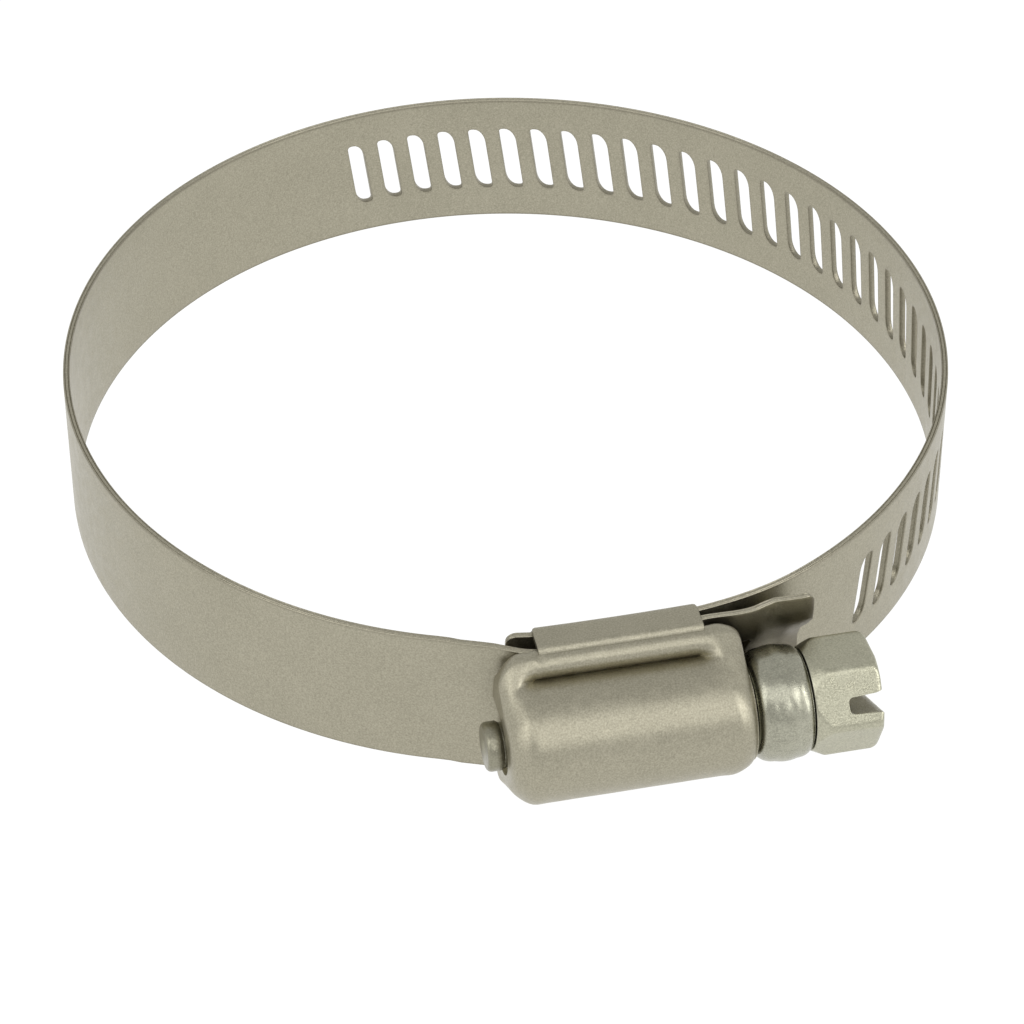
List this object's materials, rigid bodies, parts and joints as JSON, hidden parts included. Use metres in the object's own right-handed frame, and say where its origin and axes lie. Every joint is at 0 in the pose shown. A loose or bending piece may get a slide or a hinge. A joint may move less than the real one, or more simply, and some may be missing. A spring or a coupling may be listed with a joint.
{
  "type": "worm-drive hose clamp",
  "caption": "Worm-drive hose clamp: a slotted steel band closed into a ring by a hex-head worm screw in a pressed housing held by a folded saddle.",
  "frame": {"origin": "centre of the bounding box's bottom: the clamp lies flat, and the ring's own centre is at y = 4.8 mm, z = 8 mm", "axes": "+Z along the ring's axis, -Y from the ring's centre to the housing, +X along the screw's axis towards its hex head"},
  "size_m": [0.0834, 0.093, 0.016],
  "materials": {
    "stainless": "satin rolled stainless, slightly warm",
    "screw_steel": "matt, fine grain",
    "collar_steel": "burnished"
  },
  "bodies": {
    "frame": {"housing": "stainless", "saddle": "stainless", "band_fixed_half": "stainless"},
    "screw": {"worm_screw": "screw_steel", "screw_collar": "collar_steel"},
    "free_half": {"band_free_half": "stainless"},
    "tail": {"band_tail": "stainless"}
  },
  "joints": [
    {"name": "screw_turn", "type": "hinge", "parent": "frame", "child": "screw", "pos_m": [0, -0.041, 0.008], "axis": [1, 0, 0], "range_deg": [0, 540]},
    {"name": "band_swing", "type": "hinge", "parent": "frame", "child": "free_half", "pos_m": [0.01398, 0.04379, 0.008], "axis": [0, 0, 1], "range_deg": [-3.28, 0]},
    {"name": "tail_follow", "type": "hinge", "parent": "free_half", "child": "tail", "pos_m": [-0.0128, -0.0346, 0.008], "axis": [0, 0, 1], "range_deg": [-3.28, 0]}
  ],
  "couplings": [
    {"joint": "band_swing", "follows": "screw_turn", "ratio": -0.0060601},
    {"joint": "tail_follow", "follows": "screw_turn", "ratio": -0.0060587}
  ]
}
